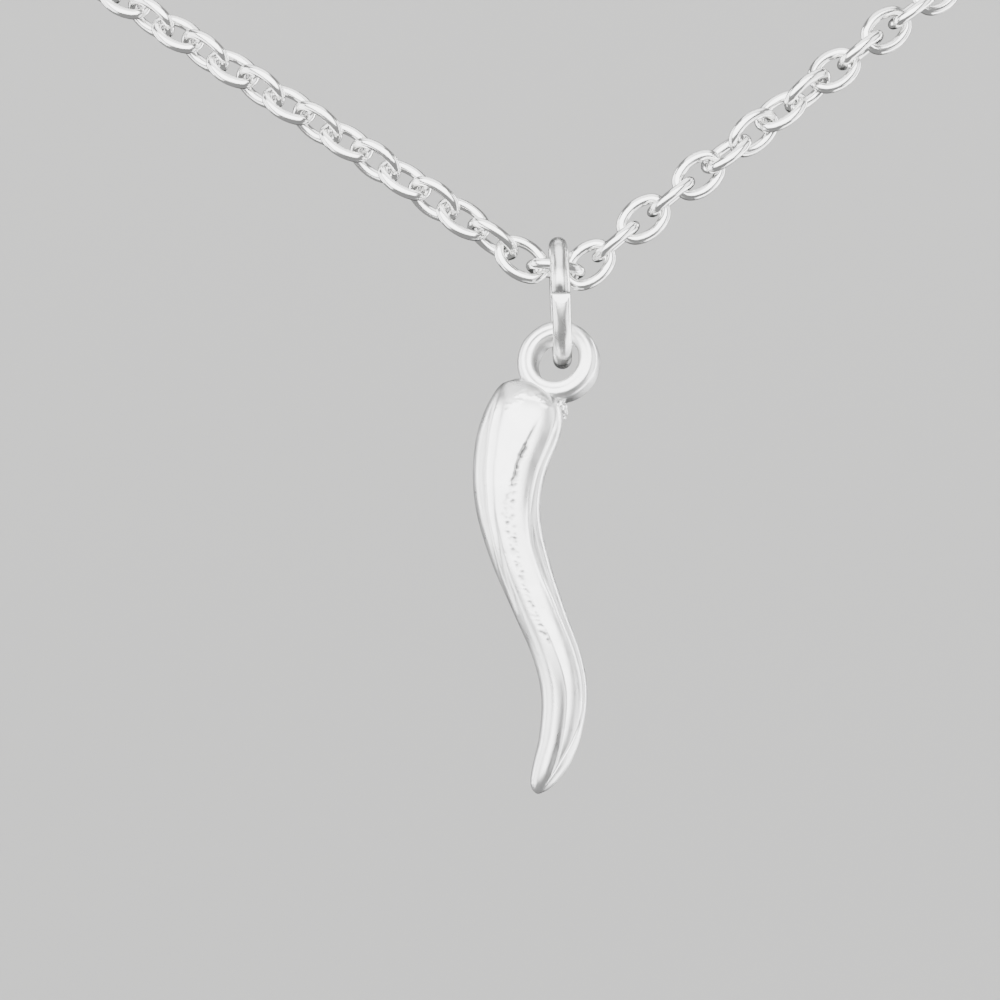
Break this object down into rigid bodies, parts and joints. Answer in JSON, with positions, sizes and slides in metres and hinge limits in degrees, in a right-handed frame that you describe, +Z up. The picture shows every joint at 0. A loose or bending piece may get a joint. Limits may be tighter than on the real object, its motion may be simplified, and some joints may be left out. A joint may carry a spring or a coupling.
{
  "type": "cornicello horn pendant necklace",
  "caption": "Cornicello horn pendant with a cast eye on a jump ring, hung from a round-wire cable chain that closes with a plain clasp ring at the nape.",
  "frame": {"origin": "middle of the clasp ring at the nape, where the necklace rests on the back of a neck", "axes": "+X to the right seen from the front, +Y from the horn in front to the nape behind, +Z up"},
  "size_m": [0.1301, 0.1314, 0.1234],
  "materials": {
    "cast_silver": "cast and tumbled silver, satin polish with darker pits and creases",
    "silver_wire": "polished silver wire with fine scratches",
    "chain_silver": "bright polished silver wire links"
  },
  "bodies": {
    "chain": {"chain_left": "chain_silver", "chain_right": "chain_silver", "end_ring": "silver_wire", "clasp": "silver_wire"},
    "jump_ring": {"jump_ring": "silver_wire"},
    "horn": {"horn": "cast_silver"}
  },
  "joints": [
    {"name": "ring_turn", "type": "hinge", "parent": "chain", "child": "jump_ring", "pos_m": [-0.0001, -0.126, -0.09418], "axis": [1, 0, 0], "range_deg": [-40, 40]},
    {"name": "horn_swing", "type": "hinge", "parent": "jump_ring", "child": "horn", "pos_m": [-0.0001, -0.126, -0.09723], "axis": [0, 1, 0], "range_deg": [-50, 50]}
  ]
}
